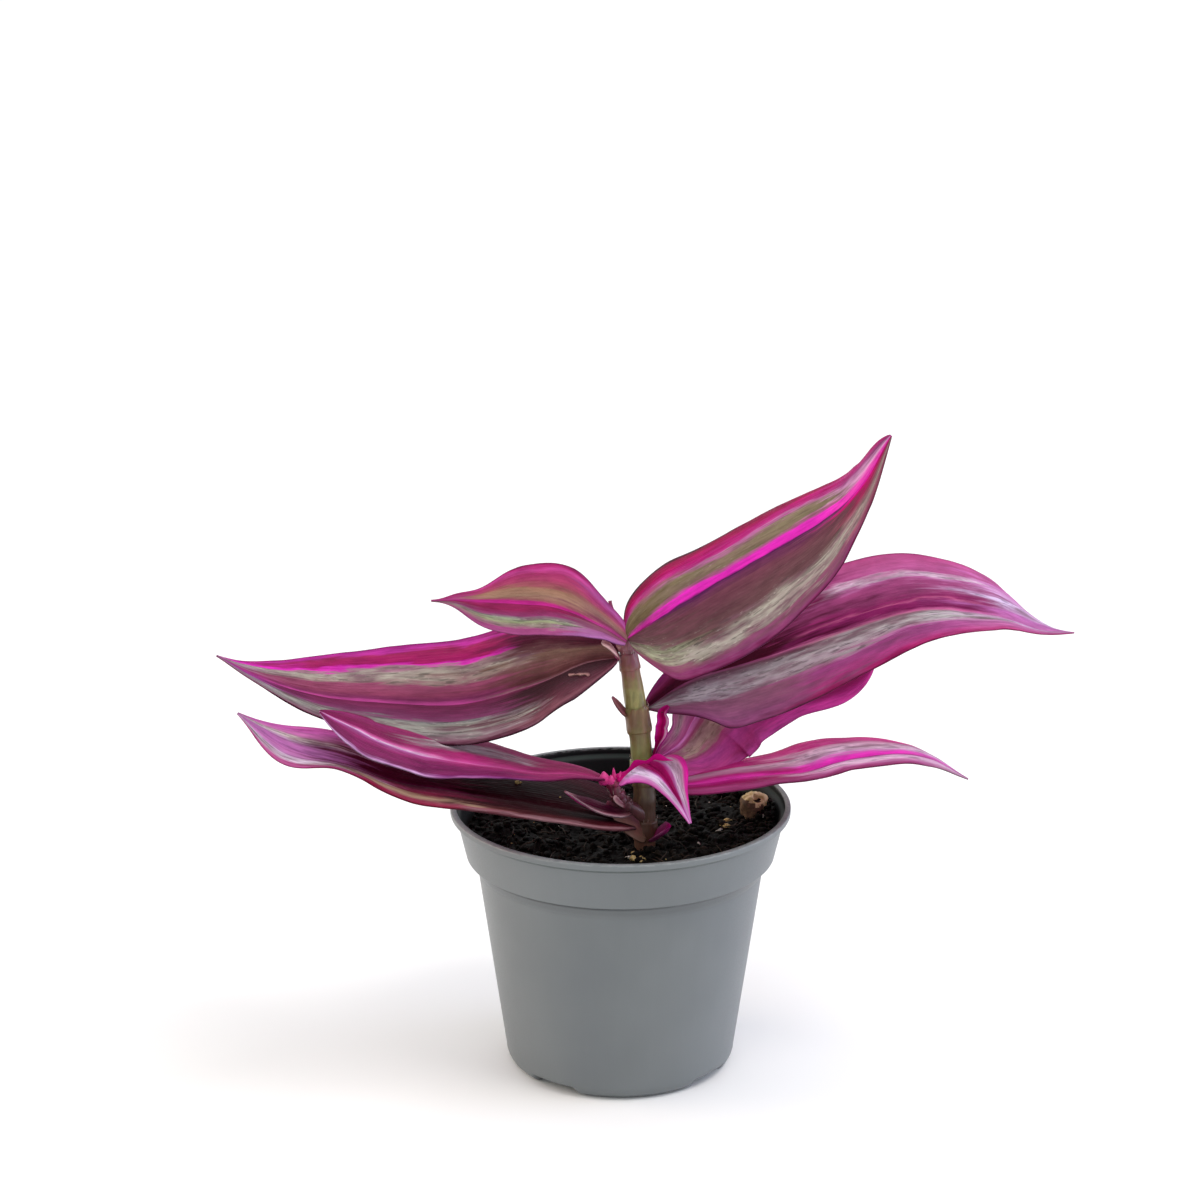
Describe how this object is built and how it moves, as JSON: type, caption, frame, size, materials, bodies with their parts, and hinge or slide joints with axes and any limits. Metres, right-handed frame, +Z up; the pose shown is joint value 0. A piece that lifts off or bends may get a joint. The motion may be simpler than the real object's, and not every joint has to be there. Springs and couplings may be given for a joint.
{
  "type": "potted tradescantia",
  "caption": "Small trailing house plant with long striped purple, pink and silver leaves on an upright fleshy stem, in a round tapered plastic nursery pot.",
  "frame": {"origin": "centre of the pot's underside, on the surface that it stands on", "axes": "+Z up along the pot's axis, +X to the right seen from the front, front of the plant towards -Y"},
  "size_m": [0.1508, 0.0663, 0.1173],
  "materials": {
    "pot": "moulded grey polypropylene, fine satin grain",
    "soil": "dark moist peat with pale crumbs",
    "stem": "smooth fleshy olive stem, browner at the nodes",
    "stub": "dry beige cut stem end",
    "bud": "smooth closed pink flower buds",
    "leaf": "satin leaf striped lengthwise in magenta, purple and silver green",
    "young_leaf": "satin young leaf, bright pink with pale stripes",
    "dark_leaf": "satin leaf, dark maroon with silver lilac stripes"
  },
  "bodies": {
    "root": {"pot": "pot", "soil": "soil", "stem": "stem", "old_stem_stub": "stub", "flower_buds": "bud", "leaf_top_right": "leaf", "leaf_long_right": "leaf", "leaf_young_left": "young_leaf", "leaf_long_left": "leaf", "leaf_low_left": "dark_leaf", "leaf_mid_left": "leaf", "leaf_low_right": "leaf", "leaf_back_right": "leaf", "leaf_shoot": "young_leaf", "leaf_dark": "dark_leaf"}
  },
  "joints": []
}
